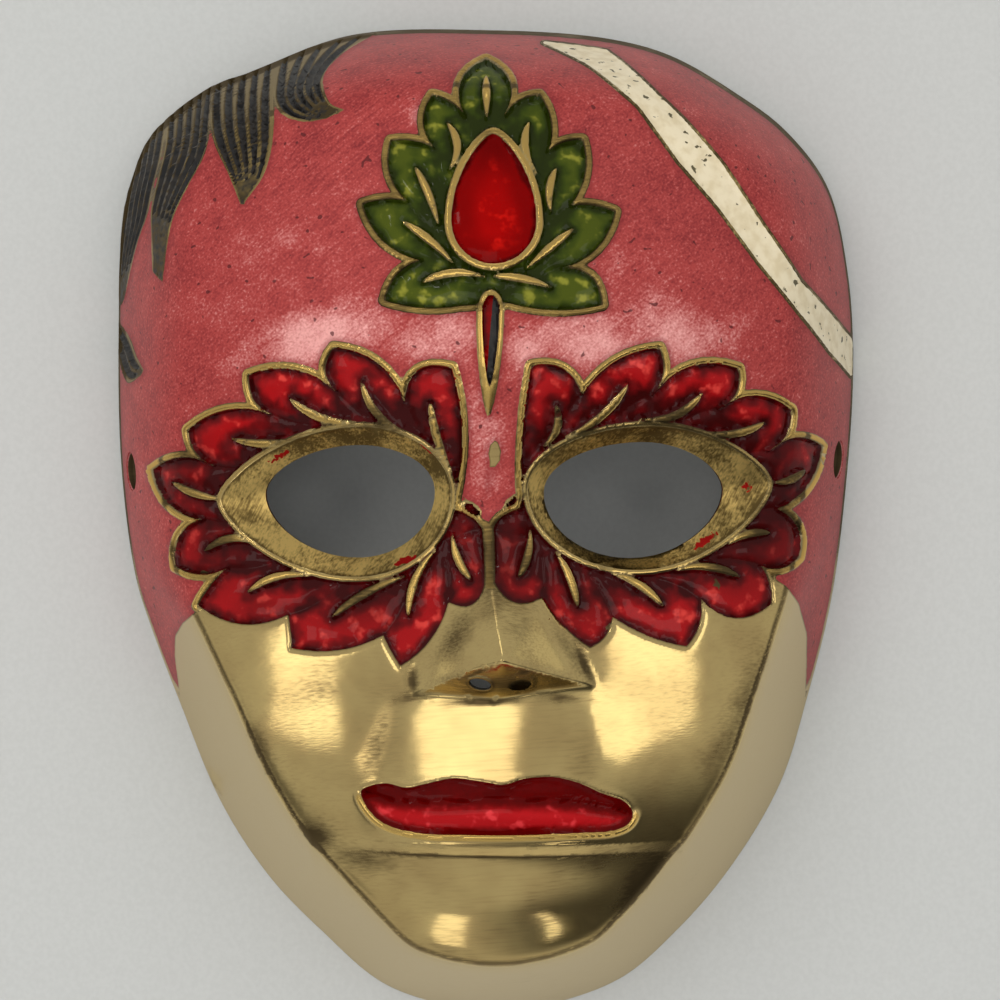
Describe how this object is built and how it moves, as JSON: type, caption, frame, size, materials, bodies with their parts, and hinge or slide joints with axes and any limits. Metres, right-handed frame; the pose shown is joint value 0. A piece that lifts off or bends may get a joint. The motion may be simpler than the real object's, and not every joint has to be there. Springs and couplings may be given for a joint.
{
  "type": "cast brass wall mask",
  "caption": "Hollow cast brass carnival mask with enamelled leaf wreaths around open eyes, a leaf crown, hair locks, a diagonal band and polished lower face; hangs by side holes.",
  "frame": {"origin": "centre of the mask's box, on the plane of its flat rim", "axes": "+Y runs from chin to forehead, +X to the right of someone who faces the mask, +Z out of the face, away from the rim"},
  "size_m": [0.1411, 0.1884, 0.05],
  "materials": {
    "brass": "polished on the lower face, brushed on the outer jaw, tarnished in the hollows",
    "enamel_pink": "pearly, brush-marked enamel with a satin gloss",
    "enamel_red": "translucent glossy enamel over brass",
    "enamel_green": "translucent glossy enamel over brass",
    "enamel_black": "chipped satin enamel in grooves",
    "enamel_cream": "pitted gloss enamel"
  },
  "bodies": {
    "root": {"mask": "brass"}
  },
  "joints": []
}
